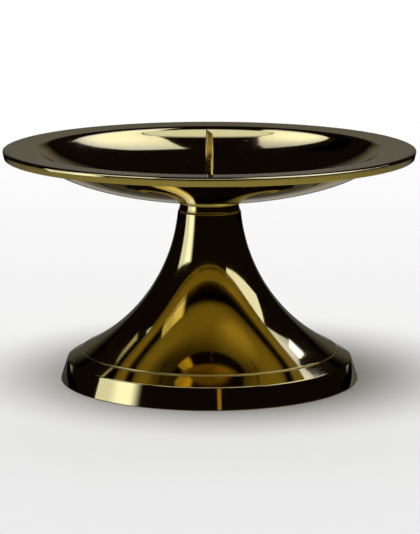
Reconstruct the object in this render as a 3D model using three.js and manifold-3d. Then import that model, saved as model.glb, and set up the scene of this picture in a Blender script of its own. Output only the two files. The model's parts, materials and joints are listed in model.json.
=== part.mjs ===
// A polished brass candle plate on a trumpet foot, with one spike that holds a pillar candle.
// Millimetres, +Z up. The origin is the middle of the ring that the foot stands on.

import * as THREE from 'three';
import { mergeVertices } from 'three/addons/utils/BufferGeometryUtils.js';
import Module from 'manifold-3d';

// Foot: a hollow turned bell with a base band, a sloping shoulder, a fine step and a flare
const restRadius = 54.7;
const bandHeight = 7.8;
const bandTaper = 2.5;
const shoulderWidth = 5.3;
const shoulderRise = 2.8;
const stepRise = 0.6;
const flareRadius = 62.4;
const neckRadius = 11.55;
const neckEdge = 0.4;
const footHeight = 62.35;
const footWall = 2;
const restLipWidth = 5;
const restLipThickness = 1.6;
const crownThickness = 3;

// Neck: a loose collar and the round nut that clamps the dish, both set back from the foot's neck
const collarHeight = 2.5;
const collarSetback = 0.35;
const bossHeight = 2;
const bossSetback = 0.3;
const ringEdge = 0.3;

// Dish: a flat seat, a curved bowl and a flat flange with a deeper edge
const dishRadius = 75;
const dishDepth = 18.35;
const dishWall = 2.4;
const seatMargin = 1.25;
const seatHandle = 6.5;
const wallSlope = THREE.MathUtils.degToRad(50);
const wallHandle = 12.9;
const bendRadius = 3;
const flangeWidth = 10;
const rimHeight = 3.2;
const rimWidth = 2.4;
const rimTaper = 0.5;
const rimRound = 0.8;

// Spike: one turned piece, from the candle's point down to the thread
const spikeHeight = 22.55;
const spikeRootRadius = 1.8;
const spikeTipRadius = 1.2;
const spikeRootFillet = 0.8;
const tipBevel = 3.2;
const plateOverlap = 2.7;
const plateThickness = 1.2;
const threadRadius = 2.5;
const threadEnd = 2.4;
const threadChamfer = 0.6;

// Fixing inside the foot
const washerWidth = 4.2;
const washerThickness = 1.2;
const lockWasherWidth = 1.7;
const lockWasherThickness = 1.3;
const lockWasherSplit = 0.8;
const nutWall = 1.2;
const nutHeight = 4;

// Fits
const threadClearance = 0.3;
const passClearance = 0.6;
const plateClearance = 0.3;

// Fineness of the round surfaces
const largeSides = 48;
const ringSides = 32;
const spikeSides = 24;
const flareSteps = 13;
const bowlSteps = 10;
const bendSteps = 4;
const roundSteps = 3;

// Heights of the stack, from the table up
const shoulderTop = bandHeight + shoulderRise;
const flareLow = shoulderTop + stepRise;
const flareHigh = footHeight - neckEdge;
const crownUnder = footHeight - crownThickness;
const bossSeat = footHeight + collarHeight;
const dishSeat = bossSeat + bossHeight;
const plateSeat = dishSeat + dishWall - plateThickness;

// Heights of the fixing, from the crown down
const washerSeat = crownUnder - washerThickness;
const lockWasherSeat = washerSeat - lockWasherThickness;
const nutSeat = lockWasherSeat - nutHeight;
const shankLength = plateSeat - nutSeat + threadEnd;

// Radii that follow from the sizes above
const bandTopRadius = restRadius - bandTaper;
const stepRadius = bandTopRadius - shoulderWidth;
const collarRadius = neckRadius - collarSetback;
const bossRadius = neckRadius - bossSetback;
const seatRadius = bossRadius + seatMargin;
const threadHole = threadRadius + threadClearance;
const passHole = threadRadius + passClearance;
const plateRadius = threadHole + plateOverlap;
const washerRadius = threadHole + washerWidth;
const lockWasherRadius = threadHole + lockWasherWidth;
const nutCornerRadius = 2 * (threadHole + nutWall) / Math.sqrt(3);

const polishedBrass = { color: 0xb8913a, roughness: 0.08, metalness: 1 };
const platedSteel = { color: 0xa9a9a2, roughness: 0.35, metalness: 1 };

const wasm = await Module();
wasm.setup();

function point(radius, height) {
  return new THREE.Vector2(radius, height);
}

// Points of an arc about a centre, from one angle to another
function arcPoints(centre, radius, from, to, steps) {
  return Array.from({ length: steps + 1 }, (_, i) => {
    const angle = THREE.MathUtils.lerp(from, to, i / steps);
    return point(centre.x + radius * Math.cos(angle), centre.y + radius * Math.sin(angle));
  });
}

// A profile of radius and height, turned about the Z axis
function turned(profile, sides) {
  return new THREE.LatheGeometry(profile, sides).rotateX(Math.PI / 2);
}

function solidOf(geometry) {
  const bare = geometry.clone();
  bare.deleteAttribute('normal');
  bare.deleteAttribute('uv');
  const merged = mergeVertices(bare);
  return new wasm.Manifold(new wasm.Mesh({
    numProp: 3,
    vertProperties: merged.attributes.position.array,
    triVerts: new Uint32Array(merged.index.array),
  }));
}

function cutAway(body, tool) {
  const mesh = solidOf(body).subtract(solidOf(tool)).getMesh();
  const geometry = new THREE.BufferGeometry();
  geometry.setAttribute('position', new THREE.BufferAttribute(mesh.vertProperties, 3));
  geometry.setIndex(new THREE.BufferAttribute(mesh.triVerts, 1));
  geometry.computeVertexNormals();
  return geometry;
}

// A flat ring with both outer edges broken
function ring(hole, radius, height) {
  return turned([
    point(hole, 0),
    point(radius - ringEdge, 0),
    point(radius, ringEdge),
    point(radius, height - ringEdge),
    point(radius - ringEdge, height),
    point(hole, height),
    point(hole, 0),
  ], ringSides);
}

// The centre of the flare's arc, which passes through the step's edge and the neck's edge
function flareCentre() {
  const low = point(stepRadius, flareLow);
  const high = point(neckRadius, flareHigh);
  const half = high.clone().sub(low).multiplyScalar(0.5);
  const sideways = point(half.y, -half.x).normalize();
  const offset = Math.sqrt(flareRadius ** 2 - half.lengthSq());
  return low.clone().add(half).addScaledVector(sideways, offset);
}

function footGeometry() {
  const centre = flareCentre();
  const angleAt = (height, radius) => Math.PI - Math.asin((height - centre.y) / radius);
  const outer = arcPoints(
    centre,
    flareRadius,
    angleAt(flareLow, flareRadius),
    angleAt(flareHigh, flareRadius),
    flareSteps,
  );
  const innerRadius = flareRadius + footWall;
  const inner = arcPoints(
    centre,
    innerRadius,
    angleAt(crownUnder, innerRadius),
    angleAt(flareLow - footWall, innerRadius),
    flareSteps,
  );
  const bandLean = (restRadius - bandTopRadius) / bandHeight;
  const lipTop = point(restRadius - bandLean * restLipThickness - footWall, restLipThickness);
  return turned([
    point(restRadius - restLipWidth, 0),
    point(restRadius, 0),
    point(bandTopRadius, bandHeight),
    point(stepRadius, shoulderTop),
    ...outer,
    point(neckRadius - neckEdge, footHeight),
    point(passHole, footHeight),
    point(passHole, crownUnder),
    ...inner,
    point(bandTopRadius - footWall, bandHeight - footWall),
    lipTop,
    point(restRadius - restLipWidth, restLipThickness),
    point(restRadius - restLipWidth, 0),
  ], largeSides);
}

// The dish's own zero height is its seat on the round nut
function dishGeometry() {
  const flangeInner = dishRadius - flangeWidth;
  const flangeUnder = dishDepth - dishWall;
  const bendCentre = point(flangeInner, flangeUnder - bendRadius);
  const wallTop = point(
    bendCentre.x - bendRadius * Math.sin(wallSlope),
    bendCentre.y + bendRadius * Math.cos(wallSlope),
  );
  const bowl = new THREE.CubicBezierCurve(
    point(seatRadius, 0),
    point(seatRadius + seatHandle, 0),
    point(wallTop.x - wallHandle * Math.cos(wallSlope), wallTop.y - wallHandle * Math.sin(wallSlope)),
    wallTop,
  );
  const under = bowl.getPoints(bowlSteps);
  const over = under.map((p, i) => {
    const along = bowl.getTangent(i / bowlSteps);
    return point(p.x - dishWall * along.y, p.y + dishWall * along.x);
  });
  const bendFrom = Math.PI / 2 + wallSlope;
  const bendTo = Math.PI / 2;
  const bendUnder = arcPoints(bendCentre, bendRadius, bendFrom, bendTo, bendSteps);
  const bendOver = arcPoints(bendCentre, bendRadius + dishWall, bendFrom, bendTo, bendSteps);
  const rimCorner = arcPoints(
    point(dishRadius - rimRound, dishDepth - rimRound),
    rimRound,
    0,
    Math.PI / 2,
    roundSteps,
  );
  const plateHole = plateRadius + plateClearance;
  const plateFloor = dishWall - plateThickness;
  return turned([
    point(threadHole, 0),
    ...under,
    ...bendUnder.slice(1),
    point(dishRadius - rimWidth, flangeUnder),
    point(dishRadius - rimWidth, dishDepth - rimHeight),
    point(dishRadius - rimTaper, dishDepth - rimHeight),
    ...rimCorner,
    ...bendOver.reverse(),
    ...over.reverse().slice(1),
    point(plateHole, dishWall),
    point(plateHole, plateFloor),
    point(threadHole, plateFloor),
    point(threadHole, 0),
  ], largeSides);
}

// The spike's own zero height is the underside of its round plate
function spikeGeometry() {
  const top = plateThickness + spikeHeight;
  const filletCentre = point(spikeRootRadius + spikeRootFillet, plateThickness + spikeRootFillet);
  const fillet = arcPoints(filletCentre, spikeRootFillet, -Math.PI / 2, -Math.PI, roundSteps);
  const body = turned([
    point(0, -shankLength),
    point(threadRadius - threadChamfer, -shankLength),
    point(threadRadius, threadChamfer - shankLength),
    point(threadRadius, 0),
    point(plateRadius, 0),
    point(plateRadius, plateThickness),
    ...fillet,
    point(spikeTipRadius, top),
    point(0, top),
  ], spikeSides);
  // The point is ground on one side, from the left of the tip down to the right
  const across = 2 * spikeTipRadius;
  const block = 4 * tipBevel;
  const facing = new THREE.Vector3(tipBevel, 0, across).normalize();
  const tool = new THREE.BoxGeometry(block, block, block);
  tool.rotateY(-Math.atan2(facing.z, facing.x));
  tool.translate(facing.x * block / 2, 0, top - tipBevel / 2 + facing.z * block / 2);
  return cutAway(body, tool);
}

function lockWasherGeometry() {
  const outerAngle = Math.asin(lockWasherSplit / 2 / lockWasherRadius);
  const innerAngle = Math.asin(lockWasherSplit / 2 / threadHole);
  const outline = new THREE.Shape();
  outline.absarc(0, 0, lockWasherRadius, outerAngle, 2 * Math.PI - outerAngle, false);
  outline.absarc(0, 0, threadHole, 2 * Math.PI - innerAngle, innerAngle, true);
  return new THREE.ExtrudeGeometry(outline, {
    depth: lockWasherThickness,
    curveSegments: ringSides,
    bevelEnabled: false,
  });
}

function nutGeometry() {
  const corners = Array.from({ length: 6 }, (_, i) => {
    const angle = i * Math.PI / 3;
    return point(nutCornerRadius * Math.cos(angle), nutCornerRadius * Math.sin(angle));
  });
  const outline = new THREE.Shape(corners);
  outline.holes.push(new THREE.Path().absarc(0, 0, threadHole, 0, 2 * Math.PI, true));
  return new THREE.ExtrudeGeometry(outline, {
    depth: nutHeight,
    curveSegments: spikeSides / 2,
    bevelEnabled: false,
  });
}

function piece(name, geometry, finish, height) {
  const mesh = new THREE.Mesh(geometry, new THREE.MeshStandardMaterial(finish));
  mesh.name = name;
  mesh.position.z = height;
  return mesh;
}

const candleHolder = new THREE.Group();
candleHolder.add(
  piece('trumpet_foot', footGeometry(), polishedBrass, 0),
  piece('neck_collar', ring(passHole, collarRadius, collarHeight), polishedBrass, footHeight),
  piece('dish_boss', ring(threadHole, bossRadius, bossHeight), polishedBrass, bossSeat),
  piece('drip_dish', dishGeometry(), polishedBrass, dishSeat),
  piece('pricket_spike', spikeGeometry(), polishedBrass, plateSeat),
  piece('crown_washer', ring(threadHole, washerRadius, washerThickness), polishedBrass, washerSeat),
  piece('lock_washer', lockWasherGeometry(), platedSteel, lockWasherSeat),
  piece('hex_nut', nutGeometry(), platedSteel, nutSeat),
);

export default candleHolder;
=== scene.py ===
import json
import math

import bmesh
import bpy
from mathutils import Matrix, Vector

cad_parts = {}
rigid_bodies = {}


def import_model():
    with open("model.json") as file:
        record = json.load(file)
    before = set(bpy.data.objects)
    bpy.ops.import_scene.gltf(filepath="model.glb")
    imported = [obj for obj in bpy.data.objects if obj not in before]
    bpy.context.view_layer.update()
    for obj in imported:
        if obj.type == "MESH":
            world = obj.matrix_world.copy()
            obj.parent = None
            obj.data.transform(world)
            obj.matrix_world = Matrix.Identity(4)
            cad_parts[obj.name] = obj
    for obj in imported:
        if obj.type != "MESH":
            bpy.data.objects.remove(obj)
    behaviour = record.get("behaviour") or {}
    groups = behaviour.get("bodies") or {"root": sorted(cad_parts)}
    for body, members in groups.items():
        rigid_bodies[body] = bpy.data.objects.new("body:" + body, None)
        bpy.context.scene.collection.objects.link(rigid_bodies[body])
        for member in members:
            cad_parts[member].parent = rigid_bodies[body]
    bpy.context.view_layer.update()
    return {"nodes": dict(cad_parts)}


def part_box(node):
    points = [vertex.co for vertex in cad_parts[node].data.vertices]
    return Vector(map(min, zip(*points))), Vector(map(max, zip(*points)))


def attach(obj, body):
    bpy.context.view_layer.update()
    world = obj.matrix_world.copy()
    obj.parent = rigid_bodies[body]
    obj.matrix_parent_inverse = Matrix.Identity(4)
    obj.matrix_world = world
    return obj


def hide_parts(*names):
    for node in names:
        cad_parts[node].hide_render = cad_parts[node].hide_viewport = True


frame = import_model()
print("frame loaded:", ", ".join(sorted(frame["nodes"])))

mm = 0.001
mergeGap = 0.001 * mm  # points nearer than this become one
cutGap = 0.0001 * mm  # points nearer than this to a cut lie on it
white = (1, 1, 1)
for spare in [o for o in bpy.data.objects if o.name in ("Cube", "Light", "Camera")]:
    bpy.data.objects.remove(spare)
bpy.context.scene.view_settings.view_transform = "Standard"


# A node's lowest and highest corner in mm
def nodeBox(node):
    low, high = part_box(node)
    return low / mm, high / mm


# The object just added, under its own name
def takeNew(name):
    made = bpy.context.active_object
    made.name = name
    made.data.name = name
    return made


def pickOnly(piece):
    bpy.ops.object.select_all(action="DESELECT")
    piece.select_set(True)
    bpy.context.view_layer.objects.active = piece


# Drawing a turning profile, point by point, as radius and height in mm

def onProfile(spot):
    return Vector((spot[0] * mm, 0, spot[1] * mm))


def startProfile(name, spot):
    bpy.ops.object.select_all(action="DESELECT")
    bpy.ops.mesh.primitive_plane_add(size=mm)
    piece = takeNew(name)
    bpy.ops.object.mode_set(mode="EDIT")
    bpy.ops.mesh.select_all(action="SELECT")
    bpy.ops.mesh.merge(type="CENTER")
    bpy.ops.transform.translate(value=onProfile(spot))
    return piece


def lineTo(*spots):
    for spot in spots:
        mesh = bmesh.from_edit_mesh(bpy.context.edit_object.data)
        tip = next(v for v in mesh.verts if v.select)
        step = onProfile(spot) - tip.co
        bpy.ops.mesh.extrude_region_move(TRANSFORM_OT_translate={"value": step})


def arcAbout(centre, sweep, steps):  # counterclockwise where sweep is above zero
    bpy.ops.mesh.spin(steps=steps, angle=sweep, center=onProfile(centre), axis=(0, 1, 0))


def roundCorner(spot, setback, segments=4):
    mesh = bmesh.from_edit_mesh(bpy.context.edit_object.data)
    place = onProfile(spot)
    nearest = min(mesh.verts, key=lambda v: (v.co - place).length)
    for v in mesh.verts:
        v.select = v == nearest
    mesh.select_flush_mode()
    bpy.ops.mesh.bevel(offset=setback * mm, segments=segments, affect="VERTICES")


def mergeDoubles():
    bpy.ops.mesh.select_all(action="SELECT")
    bpy.ops.mesh.remove_doubles(threshold=mergeGap)
    bpy.ops.mesh.select_all(action="SELECT")


def faceOutwards():  # and back to object mode
    bpy.ops.mesh.select_all(action="SELECT")
    bpy.ops.mesh.normals_make_consistent(inside=False)
    bpy.ops.object.mode_set(mode="OBJECT")


def turnRound(sides):
    mergeDoubles()  # closes the profile
    bpy.ops.mesh.spin(steps=sides, angle=2 * math.pi, center=(0, 0, 0), axis=(0, 0, 1))
    mergeDoubles()
    faceOutwards()


def cutAway(place, outward):  # what lies outward of a plane goes, and the cut is closed
    bpy.ops.mesh.select_all(action="SELECT")
    bpy.ops.mesh.bisect(
        plane_co=place, plane_no=outward, use_fill=True, clear_outer=True, threshold=cutGap
    )


def smoothSkin(piece, sharpAngle=42):
    pickOnly(piece)
    bpy.ops.object.shade_smooth_by_angle(angle=math.radians(sharpAngle))
    skin = piece.modifiers.new("flatStaysFlat", "WEIGHTED_NORMAL")
    skin.keep_sharp = True
    bpy.ops.object.modifier_apply(modifier=skin.name)


def cutWith(piece, tool, operation):
    cut = piece.modifiers.new("cut", "BOOLEAN")
    cut.operation = operation
    cut.solver = "EXACT"
    cut.object = tool
    pickOnly(piece)
    bpy.ops.object.modifier_apply(modifier=cut.name)
    bpy.data.objects.remove(tool)


# Trumpet foot: one turned shell, open beneath

foot = {
    "bandHeight": 7.8, "bandTaper": 2.5, "shoulderWidth": 5.3, "shoulderRise": 2.8, "stepRise": 0.6,
    "flareRadius": 62.4, "neckRadius": 11.55, "neckEdge": 0.4, "neckRound": 0.18,
    "wall": 2.0, "lipWidth": 5.0, "lipThickness": 1.6, "crown": 3.0, "hole": 3.1,
    "restEdge": 0.35, "bandEdge": 0.3, "stepEdge": 0.14,
    "sides": 256, "flareSteps": 96, "innerSteps": 40,
}


def makeFoot():
    high = nodeBox("trumpet_foot")[1]
    rest, top = high.x, high.z
    bandTop = rest - foot["bandTaper"]
    step = bandTop - foot["shoulderWidth"]
    shoulderTop = foot["bandHeight"] + foot["shoulderRise"]
    flareLow = Vector((step, shoulderTop + foot["stepRise"]))
    flareHigh = Vector((foot["neckRadius"], top - foot["neckEdge"]))
    half = (flareHigh - flareLow) / 2
    reach = math.sqrt(foot["flareRadius"] ** 2 - half.length_squared)
    centre = flareLow + half + Vector((half.y, -half.x)).normalized() * reach

    def flareAngle(height, radius):  # where a circle about the flare's centre has that height
        return math.pi - math.asin((height - centre.y) / radius)

    outer = foot["flareRadius"]
    inner = outer + foot["wall"]
    crownUnder = top - foot["crown"]
    innerLow = flareLow.y - foot["wall"]
    innerStart = flareAngle(crownUnder, inner)
    lipLean = foot["bandTaper"] / foot["bandHeight"] * foot["lipThickness"]
    piece = startProfile("trumpetFoot", (rest - foot["lipWidth"], 0))
    lineTo((rest, 0), (bandTop, foot["bandHeight"]), (step, shoulderTop), flareLow)
    arcAbout(centre, flareAngle(flareHigh.y, outer) - flareAngle(flareLow.y, outer), foot["flareSteps"])
    lineTo((foot["neckRadius"] - foot["neckEdge"], top), (foot["hole"], top), (foot["hole"], crownUnder))
    lineTo((centre.x + inner * math.cos(innerStart), crownUnder))
    arcAbout(centre, flareAngle(innerLow, inner) - innerStart, foot["innerSteps"])
    lineTo((bandTop - foot["wall"], foot["bandHeight"] - foot["wall"]))
    lineTo((rest - lipLean - foot["wall"], foot["lipThickness"]))
    lineTo((rest - foot["lipWidth"], foot["lipThickness"]), (rest - foot["lipWidth"], 0))
    roundCorner((rest, 0), foot["restEdge"])
    roundCorner((bandTop, foot["bandHeight"]), foot["bandEdge"])
    roundCorner(flareLow, foot["stepEdge"], segments=3)
    roundCorner(flareHigh, foot["neckRound"])
    roundCorner((foot["neckRadius"] - foot["neckEdge"], top), foot["neckRound"])
    turnRound(foot["sides"])
    smoothSkin(piece)
    return piece


# Neck: a loose collar and the round nut above it, both hollowed to a waist where they meet

neck = {
    "collarHole": 3.1, "bossHole": 2.8, "cove": 0.45, "lip": 0.25, "edge": 0.1,
    "coveSteps": 14, "sides": 192,
}


def makeNeckRing(name, node, hole, wideTop):
    low, high = nodeBox(node)
    rise = high.z - low.z - neck["lip"]
    hollow = (rise * rise + neck["cove"] ** 2) / (2 * neck["cove"])  # the hollow's radius
    waist = high.x - neck["cove"]
    sweep = -math.asin(rise / hollow)
    piece = startProfile(name, (hole, low.z))
    if wideTop:
        wide, narrow = high.z, low.z
        lineTo((waist, narrow))
        arcAbout((waist + hollow, narrow), sweep, neck["coveSteps"])
        lineTo((high.x, wide))
    else:
        wide, narrow = low.z, high.z
        lineTo((high.x, wide), (high.x, wide + neck["lip"]))
        arcAbout((waist + hollow, narrow), sweep, neck["coveSteps"])
    lineTo((hole, high.z), (hole, low.z))
    roundCorner((high.x, wide), neck["edge"])
    roundCorner((waist, narrow), neck["edge"])
    turnRound(neck["sides"])
    smoothSkin(piece)
    return piece


# Drip dish: flat seat, curved bowl, a flange that falls a little inwards, and a deeper edge

dish = {
    "wall": 2.4, "seatRadius": 12.5, "plateHole": 5.8, "plateDepth": 1.2, "plateEdge": 0.1, "hole": 2.8,
    "seatHandle": 2.5, "wallHandle": 16.5, "wallSlope": math.radians(45),  # the bowl's curve
    "bend": 3.0, "flange": 10.75, "flangeFall": math.radians(3),
    "rimHeight": 3.2, "rimWidth": 2.4, "rimTaper": 0.5, "rimUpright": 0.95, "rimBelly": 0.5,
    "rimFillet": 0.6, "rimEdge": 0.2,
    "rimRound": 0.25, "crown": 3.5, "crownSlope": math.radians(28),  # the rim's curved top
    "sides": 360, "bowlSteps": 64, "bendSteps": 24, "rimSteps": 6, "crownSteps": 12,
}


def makeDish():
    low, high = nodeBox("drip_dish")
    radius, seat, top = high.x, low.z, high.z
    slope, fall, wall = dish["wallSlope"], dish["flangeFall"], dish["wall"]
    crown, steep, edge = dish["crown"], dish["crownSlope"], dish["rimRound"]
    crownOut = (crown - edge) * Vector((math.sin(steep), math.cos(steep)))
    crownCentre = Vector((radius - edge - crownOut.x, top - crown))
    crownIn = crownCentre + crown * Vector((-math.sin(fall), math.cos(fall)))
    flat = crownIn.x - radius + dish["flange"]
    flangeIn = crownIn - flat * Vector((1, math.tan(fall)))
    bendCentre = flangeIn + (dish["bend"] + wall) * Vector((math.sin(fall), -math.cos(fall)))
    wallTop = bendCentre + dish["bend"] * Vector((-math.sin(slope), math.cos(slope)))
    handles = [
        Vector((dish["seatRadius"], seat)),
        Vector((dish["seatRadius"] + dish["seatHandle"], seat)),
        wallTop - dish["wallHandle"] * Vector((math.cos(slope), math.sin(slope))),
        wallTop,
    ]

    def bowl(t):  # a cubic curve, its point and its normal
        a, b, c, d = handles
        s = 1 - t
        point = s ** 3 * a + 3 * s * s * t * b + 3 * s * t * t * c + t ** 3 * d
        along = (s * s * (b - a) + 2 * s * t * (c - b) + t * t * (d - c)).normalized()
        return point, Vector((-along.y, along.x))

    share = [i / dish["bowlSteps"] for i in range(dish["bowlSteps"] + 1)]
    under = [bowl(t)[0] for t in share]
    over = [bowl(t)[0] + wall * bowl(t)[1] for t in share]
    rimInner = radius - dish["rimWidth"]
    rimLow = top - dish["rimHeight"]
    rimUnder = top - wall - dish["rimWidth"] * math.tan(fall)
    plateFloor = seat + wall - dish["plateDepth"]
    piece = startProfile("dripDish", (dish["hole"], seat))
    lineTo(*under)
    arcAbout(bendCentre, fall - slope, dish["bendSteps"])
    lineTo((rimInner, rimUnder), (rimInner, rimLow), (radius - dish["rimTaper"], rimLow))
    lineTo((radius, top - dish["rimUpright"]), (radius, crownCentre.y + crownOut.y))
    arcAbout(crownCentre + crownOut, math.pi / 2 - steep, dish["rimSteps"])
    arcAbout(crownCentre, steep + fall, dish["crownSteps"])
    lineTo(flangeIn)
    arcAbout(bendCentre, slope - fall, dish["bendSteps"])
    lineTo(*over[-2::-1])
    lineTo((dish["plateHole"], seat + wall), (dish["plateHole"], plateFloor))
    lineTo((dish["hole"], plateFloor), (dish["hole"], seat))
    roundCorner((radius, top - dish["rimUpright"]), dish["rimBelly"])
    roundCorner((rimInner, rimUnder), dish["rimFillet"])
    roundCorner((rimInner, rimLow), dish["rimEdge"])
    roundCorner((radius - dish["rimTaper"], rimLow), dish["rimEdge"])
    roundCorner((dish["plateHole"], seat + wall), dish["plateEdge"])
    turnRound(dish["sides"])
    smoothSkin(piece)
    return piece


# Pricket spike: round plate, tapered spike with a ground point, and a threaded shank

spike = {
    "plateThickness": 1.2, "plateEdge": 0.15, "rootRadius": 1.62, "tipRadius": 1.22, "rootFillet": 0.8,
    "filletSteps": 8, "tipBevel": 1.8, "sides": 96,
}
thread = {
    "radius": 2.5, "pitch": 0.8, "depth": 0.49, "rootFlat": 0.2, "crestFlat": 0.1, "chamfer": 0.6,
    "leadTurns": 1.5, "spareTurns": 2, "sides": 40,
}


# A rod with a real helix, between two heights
def makeThread(name, low, high, grow=0.0):
    pitch, crest = thread["pitch"], thread["radius"] + grow
    root = crest - thread["depth"]
    flank = (pitch - thread["rootFlat"] - thread["crestFlat"]) / 2
    base = low - thread["leadTurns"] * pitch  # too long at both ends, then cut off flat
    crestLow = base + thread["rootFlat"] + flank
    piece = startProfile(name, (root, base))
    lineTo((root, base + thread["rootFlat"]), (crest, crestLow), (crest, crestLow + thread["crestFlat"]))
    lineTo((root, base + pitch))
    bpy.ops.object.mode_set(mode="OBJECT")
    winding = piece.modifiers.new("winding", "SCREW")
    winding.axis = "Z"
    winding.screw_offset = pitch * mm
    winding.iterations = math.ceil((high - low) / pitch) + thread["spareTurns"]
    winding.steps = winding.render_steps = thread["sides"]
    bpy.ops.object.modifier_apply(modifier=winding.name)
    bpy.ops.object.mode_set(mode="EDIT")
    mergeDoubles()
    cutAway((0, 0, low * mm), (0, 0, -1))
    cutAway((0, 0, high * mm), (0, 0, 1))
    faceOutwards()
    return piece


def makeSpike():
    low, high = nodeBox("pricket_spike")
    plate = high.x
    dishFloor = nodeBox("drip_dish")[0].z + dish["wall"]
    seat = dishFloor - spike["plateThickness"]
    fillet, bevel = spike["rootFillet"], spike["tipBevel"]
    filletOut = spike["rootRadius"] + fillet
    piece = startProfile("pricketSpike", (0, seat))
    lineTo((plate, seat), (plate, dishFloor), (filletOut, dishFloor))
    arcAbout((filletOut, dishFloor + fillet), -math.pi / 2, spike["filletSteps"])
    lineTo((spike["tipRadius"], high.z), (0, high.z))
    roundCorner((plate, dishFloor), spike["plateEdge"])
    turnRound(spike["sides"])
    bpy.ops.object.mode_set(mode="EDIT")
    groundWay = Vector((bevel, 0, 2 * spike["tipRadius"])).normalized()
    cutAway((0, 0, (high.z - bevel / 2) * mm), groundWay)  # the point is ground on its right side
    bpy.ops.object.mode_set(mode="OBJECT")
    smoothSkin(piece, sharpAngle=30)
    shank = makeThread("shank", low.z, seat)
    for v in shank.data.vertices:  # the chamfer at the shank's end
        radius = math.hypot(v.co.x, v.co.y)
        limit = (thread["radius"] - thread["chamfer"] - low.z) * mm + v.co.z
        if radius > limit:
            v.co.x *= limit / radius
            v.co.y *= limit / radius
    smoothSkin(shank, sharpAngle=30)
    pickOnly(piece)
    shank.select_set(True)
    bpy.ops.object.join()
    return piece


# Fixing inside the foot: flat washer, spring washer and hexagon nut

fixing = {
    "hole": 2.8, "washerEdge": 0.2, "split": 0.8, "lockEdge": 0.15, "lockSegments": 2, "sides": 96,
    "nutChamfer": 0.55, "nutFace": 0.97, "nutSink": 0.5, "threadGap": 0.06,
    # How far the cutting shapes stand out: uneven, so that no point of the thread lies in a face
    "blankSpare": 0.1, "toolSpare": 1.007,
}


def makeCrownWasher():
    low, high = nodeBox("crown_washer")
    hole, outer = fixing["hole"], high.x
    piece = startProfile("crownWasher", (hole, low.z))
    lineTo((outer, low.z), (outer, high.z), (hole, high.z), (hole, low.z))
    roundCorner((outer, low.z), fixing["washerEdge"])
    roundCorner((outer, high.z), fixing["washerEdge"])
    turnRound(fixing["sides"])
    smoothSkin(piece)
    return piece


def makeLockWasher():
    low, high = nodeBox("lock_washer")
    hole, outer = fixing["hole"], max(-low.x, high.y)
    gap = fixing["split"] / ((outer + hole) / 2)
    piece = startProfile("lockWasher", (hole, low.z))
    lineTo((outer, low.z), (outer, high.z), (hole, high.z), (hole, low.z))
    mergeDoubles()
    bpy.ops.mesh.edge_face_add()
    bpy.ops.transform.rotate(value=-gap / 2, orient_axis="Z", center_override=(0, 0, 0))
    bpy.ops.mesh.spin(
        steps=fixing["sides"], angle=2 * math.pi - gap, center=(0, 0, 0), axis=(0, 0, -1)
    )
    faceOutwards()
    edges = piece.modifiers.new("edges", "BEVEL")
    edges.width = fixing["lockEdge"] * mm
    edges.segments = fixing["lockSegments"]
    edges.limit_method = "ANGLE"
    bpy.ops.object.modifier_apply(modifier=edges.name)
    smoothSkin(piece, sharpAngle=30)
    return piece


# Half a side round, so that no edge of a cutting shape meets an edge of the nut
def turnHalfStep(tool):
    pickOnly(tool)
    tool.rotation_euler.z = math.pi / fixing["sides"]
    bpy.ops.object.transform_apply(location=False, rotation=True, scale=False)


def makeNut():
    low, high = nodeBox("hex_nut")
    corner = high.x
    flats = corner * math.cos(math.pi / 6)
    bpy.ops.object.select_all(action="DESELECT")
    bpy.ops.mesh.primitive_cylinder_add(
        vertices=6,
        radius=corner * mm,
        depth=(high.z - low.z) * mm,
        location=(0, 0, (low.z + high.z) / 2 * mm),
        rotation=(0, 0, math.pi / 6),
    )
    piece = takeNew("hexNut")
    bpy.ops.object.transform_apply(location=True, rotation=True, scale=True)
    past, depth = fixing["toolSpare"], fixing["nutSink"]
    facing = flats * fixing["nutFace"]
    clear = corner + fixing["blankSpare"]
    drop = fixing["nutChamfer"]
    coneEnd = facing - (clear - facing) / drop * past  # the chamfer's cones run on past the faces
    blank = startProfile("chamferBlank", (0, low.z - past))
    lineTo((coneEnd, low.z - past), (clear, low.z + drop), (clear, high.z - drop))
    lineTo((coneEnd, high.z + past), (0, high.z + past))
    turnRound(fixing["sides"])
    turnHalfStep(blank)
    cutWith(piece, blank, "INTERSECT")
    tap = makeThread("threadTap", low.z - past, high.z + past, fixing["threadGap"])
    cutWith(piece, tap, "DIFFERENCE")
    mouth = thread["radius"] + depth / 2
    for face, inward in ((low.z, 1), (high.z, -1)):
        outside, deep = face - inward * past, face + inward * depth
        sink = startProfile("sink", (0, outside))
        lineTo((mouth + past, outside), (mouth - depth, deep), (0, deep))
        turnRound(fixing["sides"])
        turnHalfStep(sink)
        cutWith(piece, sink, "DIFFERENCE")
    smoothSkin(piece, sharpAngle=30)
    return piece


trumpetFoot = makeFoot()
neckCollar = makeNeckRing("neckCollar", "neck_collar", neck["collarHole"], wideTop=False)
dishBoss = makeNeckRing("dishBoss", "dish_boss", neck["bossHole"], wideTop=True)
dripDish = makeDish()
pricketSpike = makeSpike()
crownWasher = makeCrownWasher()
lockWasher = makeLockWasher()
hexNut = makeNut()


# Nodes: a value that is a socket is linked, any other is set

def feed(tree, socket, value):
    if isinstance(value, bpy.types.NodeSocket):
        tree.links.new(value, socket)
    elif socket.type == "RGBA":
        socket.default_value = (*value, 1)
    else:
        socket.default_value = value


def addNode(tree, kind, inputs=None, **settings):
    made = tree.nodes.new(kind)
    for name, value in settings.items():
        setattr(made, name, value)
    for socket, value in (inputs or {}).items():
        feed(tree, made.inputs[socket], value)
    return made


def maths(tree, operation, *values):
    return addNode(tree, "ShaderNodeMath", dict(enumerate(values)), operation=operation).outputs[0]


def vectorMaths(tree, operation, *values):
    return addNode(tree, "ShaderNodeVectorMath", dict(enumerate(values)), operation=operation).outputs


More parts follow.
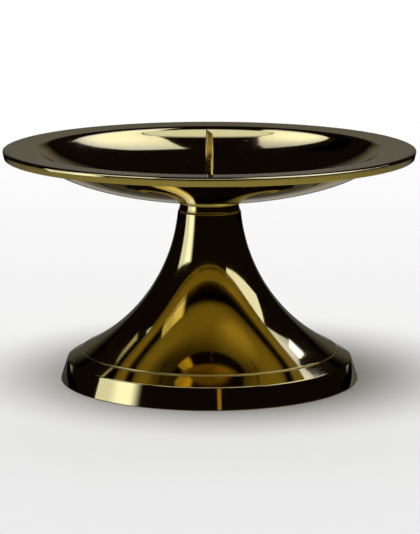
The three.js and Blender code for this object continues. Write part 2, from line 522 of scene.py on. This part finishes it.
def ramp(tree, value, low, high, toLow=0.0, toHigh=1.0):
    made = addNode(
        tree, "ShaderNodeMapRange",
        {"Value": value, "From Min": low, "From Max": high, "To Min": toLow, "To Max": toHigh},
        interpolation_type="SMOOTHSTEP",
    )
    return made.outputs["Result"]


def noise(tree, spot, scale, detail, roughness=0.5):
    inputs = {"Vector": spot, "Scale": scale, "Detail": detail, "Roughness": roughness}
    return addNode(tree, "ShaderNodeTexNoise", inputs).outputs[0]


def mixColour(tree, share, first, second):  # sockets 6 and 7 in and 2 out are the colours
    return addNode(tree, "ShaderNodeMix", {0: share, 6: first, 7: second}, data_type="RGBA").outputs[2]


def bumped(tree, height, distance, normal=None):
    inputs = {"Height": height, "Distance": distance * mm}
    if normal is not None:
        inputs["Normal"] = normal
    return addNode(tree, "ShaderNodeBump", inputs).outputs["Normal"]


def objectSpot(tree):
    return addNode(tree, "ShaderNodeTexCoord").outputs["Object"]


# Distance from the turning axis, and height
def latheSpot(tree):
    spot = objectSpot(tree)
    flat = vectorMaths(tree, "MULTIPLY", spot, (1, 1, 0))["Vector"]
    radius = vectorMaths(tree, "LENGTH", flat)["Value"]
    height = addNode(tree, "ShaderNodeSeparateXYZ", {0: spot}).outputs["Z"]
    return radius, height


def makeGroup(name, inputs, outputs):
    group = bpy.data.node_groups.new(name, "ShaderNodeTree")
    for label, value in inputs.items():
        socket = group.interface.new_socket(label, in_out="INPUT", socket_type="NodeSocketFloat")
        socket.default_value = value
    for label in outputs:
        group.interface.new_socket(label, in_out="OUTPUT", socket_type="NodeSocketFloat")
    given = group.nodes.new("NodeGroupInput").outputs
    result = group.nodes.new("NodeGroupOutput").inputs
    return group, given, result


def useGroup(tree, group, inputs):
    return addNode(tree, "ShaderNodeGroup", inputs, node_tree=group).outputs


# Fine rings left by the lathe and the polishing wheel
def makeTurnedRings():
    tree, given, result = makeGroup("turnedRings", {"Rings Per Metre": 3000.0}, ["Rings"])
    radius, height = latheSpot(tree)
    across = addNode(tree, "ShaderNodeCombineXYZ", {0: radius, 1: height}).outputs[0]
    inputs = {0: across, "Scale": given["Rings Per Metre"]}
    scaled = addNode(tree, "ShaderNodeVectorMath", inputs, operation="SCALE").outputs[0]
    tree.links.new(noise(tree, scaled, scale=1.0, detail=2.0), result["Rings"])
    return tree


# Cloudy patches where handling has dulled the lacquer
clouds = {"detail": 4.0, "roughness": 0.55, "clear": 0.42, "dull": 0.72}


def makeHandlingHaze():
    tree, given, result = makeGroup("handlingHaze", {"Patches Per Metre": 40.0}, ["Haze"])
    patches = given["Patches Per Metre"]
    cloud = noise(tree, objectSpot(tree), patches, clouds["detail"], clouds["roughness"])
    tree.links.new(ramp(tree, cloud, clouds["clear"], clouds["dull"]), result["Haze"])
    return tree


# Short straight hairlines in three directions
hairlines = {
    "turns": ((0.3, 0.2, 0.4), (1.1, -0.6, 1.5), (-0.7, 0.9, 2.6)), "stretch": (0.03, 1.0, 1.0),
    "fewest": 0.82, "most": 0.68, "crispness": 12.0,
}


def makeHairScratches():
    inputs = {"Lines Per Metre": 2500.0, "Amount": 0.5}
    tree, given, result = makeGroup("hairScratches", inputs, ["Scratch"])
    spot = objectSpot(tree)
    limit = ramp(tree, given["Amount"], 0.0, 1.0, hairlines["fewest"], hairlines["most"])
    marks = []
    for turn in hairlines["turns"]:
        inputs = {"Vector": spot, "Rotation": turn, "Scale": hairlines["stretch"]}
        along = addNode(tree, "ShaderNodeMapping", inputs).outputs[0]
        streak = noise(tree, along, given["Lines Per Metre"], detail=0.0)
        above = maths(tree, "SUBTRACT", streak, limit)
        marks.append(maths(tree, "MULTIPLY", above, hairlines["crispness"]))
    strongest = maths(tree, "MAXIMUM", maths(tree, "MAXIMUM", marks[0], marks[1]), marks[2])
    clear = addNode(tree, "ShaderNodeClamp", {"Value": strongest}).outputs[0]
    tree.links.new(clear, result["Scratch"])
    return tree


# How near a point is to a ring round the axis: a seam, a corner or an edge
def makeRingShade():
    inputs = {"Ring Radius": 0.05, "Ring Height": 0.0, "Reach": 0.001}
    tree, given, result = makeGroup("ringShade", inputs, ["Near"])
    radius, height = latheSpot(tree)
    outward = maths(tree, "SUBTRACT", radius, given["Ring Radius"])
    upward = maths(tree, "SUBTRACT", height, given["Ring Height"])
    offset = addNode(tree, "ShaderNodeCombineXYZ", {0: outward, 1: upward}).outputs[0]
    share = maths(tree, "DIVIDE", vectorMaths(tree, "LENGTH", offset)["Value"], given["Reach"])
    tree.links.new(ramp(tree, share, 1.0, 0.0), result["Near"])
    return tree


turnedRings = makeTurnedRings()
handlingHaze = makeHandlingHaze()
hairScratches = makeHairScratches()
ringShade = makeRingShade()


def makeMaterial(name, colour, roughness):
    material = bpy.data.materials.new(name)
    material.use_nodes = True
    shader = material.node_tree.nodes["Principled BSDF"]
    shader.inputs["Base Color"].default_value = (*colour, 1)
    shader.inputs["Roughness"].default_value = roughness
    return material, shader


# Polished brass under clear lacquer: seams darken, handling dulls, and the polish keeps a faint wave
polish = {
    "colour": (0.58, 0.43, 0.085), "pale": (0.62, 0.47, 0.11), "tarnish": (0.16, 0.10, 0.035),
    "roughness": 0.045, "hazeRoughness": 0.035, "scratchRoughness": 0.16, "ringRoughness": 0.02,
    "seamRoughness": 0.2, "coat": 0.15, "coatRoughness": 0.03,
    "hazePatches": 45.0, "blotchPatches": 260.0, "blotchLeast": 0.55, "scratchLines": 2200.0,
    "wavesPerMetre": 90.0, "waveDepth": 0.008, "ringDepth": 0.0004, "scratchDepth": 0.0004,
}


def polishedBrass(name, seams, ringsPerMm=3.0, wear=0.15, dull=1.0):
    material, shader = makeMaterial(name, polish["colour"], polish["roughness"])
    tree = material.node_tree
    shader.inputs["Metallic"].default_value = 1
    shader.inputs["Coat Weight"].default_value = polish["coat"]
    shader.inputs["Coat Roughness"].default_value = polish["coatRoughness"]
    haze = useGroup(tree, handlingHaze, {"Patches Per Metre": polish["hazePatches"]})["Haze"]
    blotch = useGroup(tree, handlingHaze, {"Patches Per Metre": polish["blotchPatches"]})["Haze"]
    rings = useGroup(tree, turnedRings, {"Rings Per Metre": ringsPerMm / mm})["Rings"]
    marks = {"Lines Per Metre": polish["scratchLines"], "Amount": wear}
    scratch = useGroup(tree, hairScratches, marks)["Scratch"]
    seam = None
    for radius, height, reach in seams:
        inputs = {"Ring Radius": radius * mm, "Ring Height": height * mm, "Reach": reach * mm}
        near = useGroup(tree, ringShade, inputs)["Near"]
        seam = near if seam is None else maths(tree, "MAXIMUM", seam, near)
    seam = maths(tree, "MULTIPLY", seam, ramp(tree, blotch, 0.0, 1.0, polish["blotchLeast"], 1.0))
    metal = mixColour(tree, haze, polish["colour"], polish["pale"])
    tree.links.new(mixColour(tree, seam, metal, polish["tarnish"]), shader.inputs["Base Color"])
    rough = maths(tree, "MULTIPLY_ADD", haze, polish["hazeRoughness"] * dull, polish["roughness"] * dull)
    rough = maths(tree, "MULTIPLY_ADD", rings, polish["ringRoughness"], rough)
    rough = maths(tree, "MULTIPLY_ADD", scratch, polish["scratchRoughness"], rough)
    rough = maths(tree, "MULTIPLY_ADD", seam, polish["seamRoughness"], rough)
    tree.links.new(rough, shader.inputs["Roughness"])
    wave = noise(tree, objectSpot(tree), polish["wavesPerMetre"], detail=1.0)
    normal = bumped(tree, wave, polish["waveDepth"])
    normal = bumped(tree, rings, polish["ringDepth"], normal)
    normal = bumped(tree, scratch, -polish["scratchDepth"], normal)
    tree.links.new(normal, shader.inputs["Normal"])
    return material


# Bare metal with a tool finish: inside of the foot, washers, nut and the ground point
tooled = {
    "stainPatches": 120.0, "stainRoughness": 0.15, "ringStain": 0.25,
    "scratchLines": 1500.0, "wear": 0.8, "scratchRoughness": 0.1, "scratchDepth": 0.002,
}
bareMetals = {
    "groundBrass": {
        "colour": (0.3, 0.21, 0.06), "dark": (0.14, 0.09, 0.03), "stain": 0.3,
        "roughness": 0.22, "ringsPerMm": 9.0, "ringDepth": 0.004,
    },
    "footInside": {
        "colour": (0.4, 0.29, 0.1), "dark": (0.24, 0.16, 0.06), "stain": 0.35,
        "roughness": 0.4, "ringsPerMm": 1.6, "ringDepth": 0.02,
    },
    "washerBrass": {
        "colour": (0.52, 0.39, 0.13), "dark": (0.25, 0.17, 0.06), "stain": 0.4,
        "roughness": 0.3, "ringsPerMm": 4.0, "ringDepth": 0.004,
    },
    "zincSteel": {
        "colour": (0.6, 0.6, 0.57), "dark": (0.42, 0.43, 0.42), "stain": 0.5,
        "roughness": 0.28, "ringsPerMm": 5.0, "ringDepth": 0.003,
    },
}


def toolFinish(name):
    metal = bareMetals[name]
    material, shader = makeMaterial(name, metal["colour"], metal["roughness"])
    tree = material.node_tree
    shader.inputs["Metallic"].default_value = 1
    rings = useGroup(tree, turnedRings, {"Rings Per Metre": metal["ringsPerMm"] / mm})["Rings"]
    cloud = useGroup(tree, handlingHaze, {"Patches Per Metre": tooled["stainPatches"]})["Haze"]
    marks = {"Lines Per Metre": tooled["scratchLines"], "Amount": tooled["wear"]}
    scratch = useGroup(tree, hairScratches, marks)["Scratch"]
    shade = maths(tree, "MULTIPLY", cloud, metal["stain"])
    shade = maths(tree, "MULTIPLY_ADD", rings, tooled["ringStain"], shade)
    tree.links.new(mixColour(tree, shade, metal["colour"], metal["dark"]), shader.inputs["Base Color"])
    rough = maths(tree, "MULTIPLY_ADD", cloud, tooled["stainRoughness"], metal["roughness"])
    rough = maths(tree, "MULTIPLY_ADD", scratch, tooled["scratchRoughness"], rough)
    tree.links.new(rough, shader.inputs["Roughness"])
    normal = bumped(tree, rings, metal["ringDepth"])
    normal = bumped(tree, scratch, -tooled["scratchDepth"], normal)
    tree.links.new(normal, shader.inputs["Normal"])
    return material


# Dark rings round the axis, at joints where the cloth doesn't reach, and a darker upper half of the
# spike: radius, height and reach, all in mm
darkRings = {
    "stepReach": 0.45, "neckReach": 0.8, "plateInset": 0.15, "plateReach": 0.5,
    "tipRadius": 0.6, "tipDrop": 0.6, "tipReach": 10.0,
}
collarBox, bossBox = nodeBox("neck_collar"), nodeBox("dish_boss")
dishBox, footBox = nodeBox("drip_dish"), nodeBox("trumpet_foot")
stepSeam = (
    footBox[1].x - foot["bandTaper"] - foot["shoulderWidth"],
    foot["bandHeight"] + foot["shoulderRise"],
    darkRings["stepReach"],
)
neckHeights = (collarBox[0].z, collarBox[1].z, bossBox[1].z)
neckSeams = [(bossBox[1].x, height, darkRings["neckReach"]) for height in neckHeights]
plateSeam = (
    dish["plateHole"] - darkRings["plateInset"],
    dishBox[0].z + dish["wall"],
    darkRings["plateReach"],
)
tipShade = (  # the spike's upper half is darker
    darkRings["tipRadius"],
    nodeBox("pricket_spike")[1].z - darkRings["tipDrop"],
    darkRings["tipReach"],
)

footBrass = polishedBrass("footBrass", [stepSeam, neckSeams[0]])
neckBrass = polishedBrass("neckBrass", neckSeams, ringsPerMm=5.0)
dishBrass = polishedBrass("dishBrass", [plateSeam, neckSeams[2]])
spikeBrass = polishedBrass("spikeBrass", [plateSeam, tipShade], ringsPerMm=6.0, wear=0.5, dull=1.6)
groundBrass = toolFinish("groundBrass")
footInside = toolFinish("footInside")
washerBrass = toolFinish("washerBrass")
zincSteel = toolFinish("zincSteel")
print("materials made:", len(bpy.data.node_groups), "shared groups")


# Faces that take a second finish: how far they look down, inwards, right or up, and heights in mm
inside = {"restDown": 0.9, "restBelow": 1.0, "crownDown": 0.5, "crownAbove": 20.0, "inwards": 0.05}
ground = {"right": 0.3, "up": 0.3}


def insideFoot(spot, normal):
    outward = normal.x * spot.x + normal.y * spot.y
    rests = normal.z < -inside["restDown"] and spot.z < inside["restBelow"]
    underCrown = normal.z < -inside["crownDown"] and spot.z > inside["crownAbove"]
    return rests or underCrown or outward < -inside["inwards"] * spot.length


def groundFace(spot, normal):
    return spot.z > footBox[1].z and normal.x > ground["right"] and normal.z > ground["up"]


def secondFinish(piece, material, wanted):
    piece.data.materials.append(material)
    for face in piece.data.polygons:
        if wanted(face.center / mm, face.normal):
            face.material_index = 1


# Every piece rides on its CAD body, and its CAD node is hidden
riders = [
    (trumpetFoot, "foot", "trumpet_foot", "foot_brass", footBrass),
    (neckCollar, "collar", "neck_collar", "neck_brass", neckBrass),
    (dishBoss, "dish", "dish_boss", "neck_brass", neckBrass),
    (dripDish, "dish", "drip_dish", "dish_brass", dishBrass),
    (pricketSpike, "dish", "pricket_spike", "spike_brass", spikeBrass),
    (crownWasher, "foot", "crown_washer", "washer_brass", washerBrass),
    (lockWasher, "foot", "lock_washer", "plated_steel", zincSteel),
    (hexNut, "foot", "hex_nut", "plated_steel", zincSteel),
]
for piece, body, node, slot, finish in riders:
    piece.data.materials.clear()
    piece.data.materials.append(finish)
    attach(piece, body)
    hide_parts(node)
secondFinish(trumpetFoot, footInside, insideFoot)
secondFinish(pricketSpike, groundBrass, groundFace)
print("pieces ride:", ", ".join(f"{piece.name} on {body}" for piece, body, *rest in riders))


# Studio: pale floor and lamps, and soft boxes, dark flags and a dark room that only reflections see

studio = {
    "floorSize": 12.0, "floorColour": (0.95, 0.95, 0.95), "floorRoughness": 0.9,
    "wallRadius": 1500.0, "wallSides": 96, "ceiling": 740.0,
    "wallGlow": 0.0065, "wallColour": (1.0, 0.68, 0.9),
    "boxHeight": 700.0, "boxColour": (0.85, 1.02, 2.5), "cardSteps": 24, "roomLight": 0.1,
    "sun": {"height": 2.0, "tilt": (6, -4), "strength": 2.2, "angle": 40},
    "backLight": {"place": (0, 1.5, 1.2), "size": (3.0, 2.0), "power": 12.0},
}
# Boxes overhead: outline as x and y in mm, glow, and how it falls off round a point or along an axis
overhead = {
    "boxRight": {
        "outline": [
            (38, 490), (72, 522), (98, 552), (140, 598), (200, 622), (250, 636), (350, 648),
            (640, 645), (640, -150), (420, -150), (330, -20), (285, 60), (240, 128), (205, 158),
            (158, 172), (126, 222), (98, 289), (78, 353), (60, 414),
        ],
        "glow": 2.1,
        "fades": [{"centre": (320, 300, 700), "from": 60, "to": 430, "left": 0.4}],
    },
    "boxLeft": {
        "outline": [
            (-97, 506), (-102, 400), (-119, 300), (-137, 210), (-162, 165), (-220, 122), (-310, 10),
            (-420, -150), (-640, -150), (-640, 380), (-544, 406), (-475, 431), (-330, 470), (-200, 498),
        ],
        "glow": 2.1,
        "fades": [{"centre": (-340, 220, 700), "from": 60, "to": 380, "left": 0.35}],
    },
    "boxFront": {
        "outline": [
            (-140, 205), (138, 205), (155, 165), (198, 148), (232, 120), (276, 52), (321, -24),
            (380, -150), (380, -420), (-400, -420), (-400, -150), (-302, 5), (-213, 115), (-160, 158),
        ],
        "glow": 1.3,
        "fades": [{"axis": (0, 1, 0), "from": 140, "to": 205, "left": 0.1}],
    },
}
# Upright cards round the object: radius, then azimuth, foot and top of both ends, in degrees and mm
upright = {
    "boxAside": {
        "radius": 262.0, "ends": [(-131, 0, 172), (-91, 0, 150)], "glow": 2.1,
        "fades": [
            {"axis": (0, -1, 0), "from": 132, "to": 171, "left": 0.0},
            {"axis": (0, 1, 0), "from": -105, "to": -55, "left": 0.65},
        ],
    },
    "boxHigh": {"radius": 600.0, "ends": [(68, 345, 640), (133, 400, 640)], "glow": 1.6},
    "paleLeft": {
        "radius": 600.0, "ends": [(-50, 462, 585), (-28, 540, 585)], "glow": 0.5,
        "colour": (1.0, 1.0, 1.1),
    },
    "paleLeftFlag": {"radius": 300.0, "ends": [(-62, 276, 345), (-10, 276, 345)], "glow": 0.0},
    "boxRightLow": {"radius": 600.0, "ends": [(35, 440, 530), (44, 440, 530)], "glow": 3.0},
    "backCard": {"radius": 225.0, "ends": [(-27, 0, 60), (27, 0, 60)], "glow": 0.085},
    "slit": {
        "radius": 110.0, "ends": [(173, 21.5, 33), (175.2, 21.5, 33)], "glow": 0.42,
        "colour": (1.0, 0.65, 0.2),
    },
    # Black strips low by the foot: painted shadow, standing in for the shaded floor beside the foot's
    # band
    "lowLeft": {"radius": 80.0, "ends": [(-94, 0, 4.5), (-36, 0, 4.5)], "glow": 0.0},
    "lowRight": {"radius": 80.0, "ends": [(50, 0, 4.5), (94, 0, 4.5)], "glow": 0.0},
}
# A glowing grey sheet just above the floor, seen only in reflections: a painted shadow of the dish, dark
# by the foot, and painted light, brightest in a ring round it and to the right in front, gone 450 mm
# out, and with a straight front edge
paintedFloorShade = {
    "radius": 1520.0, "height": 0.1, "glow": 0.09, "cornerStep": 5,
    "fades": [
        {"centre": (85, -62, 0), "from": 20, "to": 95, "left": 0.53},
        {"centre": (-20, 30, 0), "from": 62, "to": 118, "left": 3.0},
        {"centre": (0, 0, 0), "from": 50, "to": 125, "left": 2.6},
        {"centre": (0, 0, 0), "from": 170, "to": 300, "left": 0.5},
        {"centre": (0, 0, 0), "from": 300, "to": 450, "left": 0.0},
        {"axis": (0, 1, 0), "from": 60, "to": 170, "left": 0.95},
        {"axis": (0, -1, 0), "from": 220, "to": 330, "left": 0.0},
    ],
}
# The dim wall behind, which fades out upwards and to both sides
backdrop = {
    "halfWidth": 310.0, "away": 560.0, "height": 310.0, "glow": 0.135, "colour": (1.0, 0.97, 0.88),
    "fades": [
        {"axis": (0, 0, 1), "from": 180, "to": 310, "left": 0.0},
        {"axis": (1, 0, 0), "from": 130, "to": 300, "left": 0.0},
        {"axis": (-1, 0, 0), "from": 130, "to": 300, "left": 0.0},
    ],
}


def wallSpot(azimuth, height, radius):
    angle = math.radians(azimuth)
    return Vector((radius * math.sin(angle), radius * math.cos(angle), height)) * mm


def glowMaterial(name, strength, colour, fades=()):
    material = bpy.data.materials.new(name)
    material.use_nodes = True
    tree = material.node_tree
    tree.nodes.clear()
    spot = objectSpot(tree)
    level = strength
    for fade in fades:
        if "axis" in fade:
            place = vectorMaths(tree, "DOT_PRODUCT", spot, fade["axis"])["Value"]
        else:
            place = vectorMaths(tree, "DISTANCE", spot, Vector(fade["centre"]) * mm)["Value"]
        share = ramp(tree, place, fade["from"] * mm, fade["to"] * mm, 1.0, fade["left"])
        level = maths(tree, "MULTIPLY", share, level)
    light = addNode(tree, "ShaderNodeEmission", {"Color": colour, "Strength": level})
    addNode(tree, "ShaderNodeOutputMaterial", {"Surface": light.outputs["Emission"]})
    return material


def onlyReflected(card, material):
    card.data.materials.append(material)
    card.visible_camera = False
    card.visible_diffuse = False
    card.visible_shadow = False
    card.visible_transmission = False
    card.visible_volume_scatter = False


def flatCard(name, corners, material):
    bpy.ops.object.select_all(action="DESELECT")
    bpy.ops.mesh.primitive_circle_add(vertices=len(corners), radius=1, fill_type="NGON")
    card = takeNew(name)
    for v, corner in zip(card.data.vertices, corners):
        v.co = Vector(corner) * mm
    onlyReflected(card, material)


def arcCard(name, radius, ends, material):
    bpy.ops.object.select_all(action="DESELECT")
    bpy.ops.mesh.primitive_grid_add(x_subdivisions=studio["cardSteps"], y_subdivisions=1, size=2)
    card = takeNew(name)
    start, end = Vector(ends[0]), Vector(ends[1])
    for v in card.data.vertices:  # the grid runs from -1 to 1 both ways
        azimuth, low, high = start.lerp(end, (v.co.x + 1) / 2)
        v.co = wallSpot(azimuth, low + (high - low) * (v.co.y + 1) / 2, radius)
    onlyReflected(card, material)


for name, box in overhead.items():
    glow = glowMaterial(name, box["glow"], studio["boxColour"], box["fades"])
    flatCard(name, [(x, y, studio["boxHeight"]) for x, y in box["outline"]], glow)
for name, card in upright.items():
    colour = studio["boxColour"] if name.startswith("box") else white
    glow = glowMaterial(name, card["glow"], card.get("colour", colour), card.get("fades", ()))
    arcCard(name, card["radius"], card["ends"], glow)
side, upper = backdrop["halfWidth"], backdrop["height"]
backOutline = [(-side, 0), (side, 0), (side, upper), (-side, upper)]
backGlow = glowMaterial("backWall", backdrop["glow"], backdrop["colour"], backdrop["fades"])
flatCard("backWall", [(x, backdrop["away"], z) for x, z in backOutline], backGlow)
# The sheet with the painted shadow and painted light, lying just above the floor
sheetAngles = range(0, 360, paintedFloorShade["cornerStep"])
sheetCorners = [wallSpot(azimuth, paintedFloorShade["height"], paintedFloorShade["radius"]) / mm for azimuth in sheetAngles]
flatCard("floorMat", sheetCorners, glowMaterial("floorMat", paintedFloorShade["glow"], white, paintedFloorShade["fades"]))

# The dark room: a round wall with a ceiling, and no floor of its own
bpy.ops.object.select_all(action="DESELECT")
bpy.ops.mesh.primitive_cylinder_add(
    vertices=studio["wallSides"],
    radius=studio["wallRadius"] * mm,
    depth=studio["ceiling"] * mm,
    location=(0, 0, studio["ceiling"] / 2 * mm),
    end_fill_type="NGON",
)
darkRoom = takeNew("darkRoom")
bpy.ops.object.mode_set(mode="EDIT")
bpy.ops.mesh.select_all(action="DESELECT")
for face in bmesh.from_edit_mesh(darkRoom.data).faces:
    face.select = face.normal.z < -0.5  # only the bottom looks down
bpy.ops.mesh.delete(type="FACE")
bpy.ops.object.mode_set(mode="OBJECT")
onlyReflected(darkRoom, glowMaterial("darkRoom", studio["wallGlow"], studio["wallColour"]))

bpy.ops.object.select_all(action="DESELECT")
bpy.ops.mesh.primitive_plane_add(size=studio["floorSize"])
floor = takeNew("floor")
paleFloor, floorShader = makeMaterial("paleFloor", studio["floorColour"], studio["floorRoughness"])
floorShader.inputs["Specular IOR Level"].default_value = 0
floor.data.materials.append(paleFloor)

# Lamps for the floor and its shadow, which don't show in the metal
sunTilt = [math.radians(angle) for angle in studio["sun"]["tilt"]]
bpy.ops.object.light_add(type="SUN", location=(0, 0, studio["sun"]["height"]), rotation=(*sunTilt, 0))
sun = takeNew("floorLight")
sun.data.energy = studio["sun"]["strength"]
sun.data.angle = math.radians(studio["sun"]["angle"])
sun.visible_glossy = False
bpy.ops.object.light_add(type="AREA", location=studio["backLight"]["place"])
lamp = takeNew("backLight")
lamp.data.shape = "RECTANGLE"
lamp.data.size, lamp.data.size_y = studio["backLight"]["size"]
lamp.data.energy = studio["backLight"]["power"]
lamp.visible_glossy = False

# The world is white where it is seen, and lights the floor only a little
world = bpy.data.worlds.new("whiteRoom")
bpy.context.scene.world = world
world.use_nodes = True
room = world.node_tree
sky = room.nodes["Background"]
sky.inputs["Color"].default_value = (*white, 1)
rays = addNode(room, "ShaderNodeLightPath").outputs
seen = maths(room, "MAXIMUM", rays["Is Camera Ray"], rays["Is Glossy Ray"])
seen = maths(room, "MAXIMUM", seen, rays["Is Transmission Ray"])
levels = {"Value": seen, "To Min": studio["roomLight"], "To Max": 1.0}
brightness = addNode(room, "ShaderNodeMapRange", levels).outputs["Result"]
room.links.new(brightness, sky.inputs["Strength"])

view = {
    "aside": 0.22, "away": 934.87, "height": 214.41, "pitch": 10.508, "lens": 174.93, "sensor": 36.0,
}
bpy.ops.object.camera_add(
    location=(view["aside"] * mm, -view["away"] * mm, view["height"] * mm),
    rotation=(math.radians(90 - view["pitch"]), 0, 0),
)
camera = bpy.context.active_object
camera.data.lens = view["lens"]
camera.data.sensor_width = view["sensor"]
bpy.context.scene.camera = camera
print("studio and camera set")
